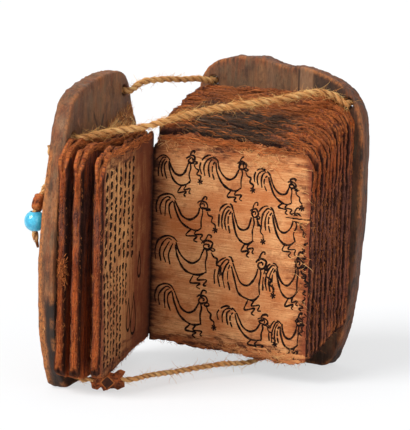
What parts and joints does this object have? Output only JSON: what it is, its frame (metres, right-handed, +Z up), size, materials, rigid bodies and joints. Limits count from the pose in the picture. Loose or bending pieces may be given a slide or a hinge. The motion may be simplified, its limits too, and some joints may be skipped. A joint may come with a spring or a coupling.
{
  "type": "bark manuscript",
  "caption": "Concertina-folded bark book between two carved wooden boards, standing half open, with a straw carry cord, bead and toggle.",
  "frame": {"origin": "on the rest plane under the middle of the boards and leaves, cords left out", "axes": "+Z up along the gutter, which is the hinge line; the back page looks towards -Y and the front page closes onto it about +Z"},
  "size_m": [0.103, 0.1316, 0.1333],
  "materials": {
    "board_wood": "dark, hand-worn",
    "bark": "fibrous",
    "page_bark": "smoothed, matt",
    "straw": "twisted plant fibre",
    "hide": "dry, dark",
    "bead_glass": "polished, opaque"
  },
  "bodies": {
    "back_cover": {"back_board": "board_wood", "back_leaf_11": "bark", "back_board_cord": "straw", "fore_strand": "straw", "spine_strand": "straw", "foot_cord_right": "straw"},
    "front_cover": {"front_board": "board_wood", "front_leaf_3": "bark", "front_board_cord": "straw", "foot_cord_left": "straw", "toggle": "hide", "bead_cord_upper": "straw", "bead_cord_lower": "straw", "bead_tab": "hide"},
    "back_leaf_1": {"back_leaf_1": "page_bark"},
    "back_leaf_2": {"back_leaf_2": "bark"},
    "back_leaf_3": {"back_leaf_3": "bark"},
    "back_leaf_4": {"back_leaf_4": "bark"},
    "back_leaf_5": {"back_leaf_5": "bark"},
    "back_leaf_6": {"back_leaf_6": "bark"},
    "back_leaf_7": {"back_leaf_7": "bark"},
    "back_leaf_8": {"back_leaf_8": "bark"},
    "back_leaf_9": {"back_leaf_9": "bark"},
    "back_leaf_10": {"back_leaf_10": "bark"},
    "front_leaf_1": {"front_leaf_1": "page_bark"},
    "front_leaf_2": {"front_leaf_2": "bark"},
    "bead": {"bead": "bead_glass"}
  },
  "joints": [
    {"name": "book_opening", "type": "hinge", "parent": "back_cover", "child": "front_cover", "pos_m": [-0.03096, 0.01358, 0], "axis": [0, 0, 1], "range_deg": [-8, 81.5], "deforming": ["fore_strand", "spine_strand", "foot_cord_right"]},
    {"name": "back_leaf_1_turn", "type": "hinge", "parent": "back_cover", "child": "back_leaf_1", "pos_m": [-0.03096, 0.01739, 0], "axis": [0, 0, 1], "range_deg": [-0.27, 2.61]},
    {"name": "back_leaf_2_turn", "type": "hinge", "parent": "back_cover", "child": "back_leaf_2", "pos_m": [-0.03096, 0.0212, 0], "axis": [0, 0, 1], "range_deg": [-0.24, 2.35]},
    {"name": "back_leaf_3_turn", "type": "hinge", "parent": "back_cover", "child": "back_leaf_3", "pos_m": [-0.03096, 0.02501, 0], "axis": [0, 0, 1], "range_deg": [-0.21, 2.09]},
    {"name": "back_leaf_4_turn", "type": "hinge", "parent": "back_cover", "child": "back_leaf_4", "pos_m": [-0.03096, 0.02882, 0], "axis": [0, 0, 1], "range_deg": [-0.19, 1.83]},
    {"name": "back_leaf_5_turn", "type": "hinge", "parent": "back_cover", "child": "back_leaf_5", "pos_m": [-0.03096, 0.03262, 0], "axis": [0, 0, 1], "range_deg": [-0.16, 1.57]},
    {"name": "back_leaf_6_turn", "type": "hinge", "parent": "back_cover", "child": "back_leaf_6", "pos_m": [-0.03096, 0.03643, 0], "axis": [0, 0, 1], "range_deg": [-0.14, 1.31]},
    {"name": "back_leaf_7_turn", "type": "hinge", "parent": "back_cover", "child": "back_leaf_7", "pos_m": [-0.03096, 0.04024, 0], "axis": [0, 0, 1], "range_deg": [-0.11, 1.05]},
    {"name": "back_leaf_8_turn", "type": "hinge", "parent": "back_cover", "child": "back_leaf_8", "pos_m": [-0.03096, 0.04405, 0], "axis": [0, 0, 1], "range_deg": [-0.0866, 0.79]},
    {"name": "back_leaf_9_turn", "type": "hinge", "parent": "back_cover", "child": "back_leaf_9", "pos_m": [-0.03096, 0.04786, 0], "axis": [0, 0, 1], "range_deg": [-0.061, 0.53]},
    {"name": "back_leaf_10_turn", "type": "hinge", "parent": "back_cover", "child": "back_leaf_10", "pos_m": [-0.03096, 0.05167, 0], "axis": [0, 0, 1], "range_deg": [-0.0355, 0.27]},
    {"name": "front_leaf_1_turn", "type": "hinge", "parent": "front_cover", "child": "front_leaf_1", "pos_m": [-0.03486, 0.01358, 0], "axis": [0, 0, 1], "range_deg": [-5.01, 0.5]},
    {"name": "front_leaf_2_turn", "type": "hinge", "parent": "front_cover", "child": "front_leaf_2", "pos_m": [-0.03876, 0.01358, 0], "axis": [0, 0, 1], "range_deg": [-2.11, 0.22]},
    {"name": "bead_spin", "type": "hinge", "parent": "front_cover", "child": "bead", "pos_m": [-0.04281, -0.06037, 0.0711], "axis": [0, 0, 1], "continuous": true}
  ],
  "couplings": [
    {"joint": "back_leaf_1_turn", "follows": "book_opening", "ratio": 0.031902},
    {"joint": "back_leaf_2_turn", "follows": "book_opening", "ratio": 0.028712},
    {"joint": "back_leaf_3_turn", "follows": "book_opening", "ratio": 0.025521},
    {"joint": "back_leaf_4_turn", "follows": "book_opening", "ratio": 0.022331},
    {"joint": "back_leaf_5_turn", "follows": "book_opening", "ratio": 0.019141},
    {"joint": "back_leaf_6_turn", "follows": "book_opening", "ratio": 0.015951},
    {"joint": "back_leaf_7_turn", "follows": "book_opening", "ratio": 0.012761},
    {"joint": "back_leaf_8_turn", "follows": "book_opening", "ratio": 0.009571},
    {"joint": "back_leaf_9_turn", "follows": "book_opening", "ratio": 0.00638},
    {"joint": "back_leaf_10_turn", "follows": "book_opening", "ratio": 0.00319},
    {"joint": "front_leaf_1_turn", "follows": "book_opening", "ratio": -0.06135},
    {"joint": "front_leaf_2_turn", "follows": "book_opening", "ratio": -0.025767}
  ]
}
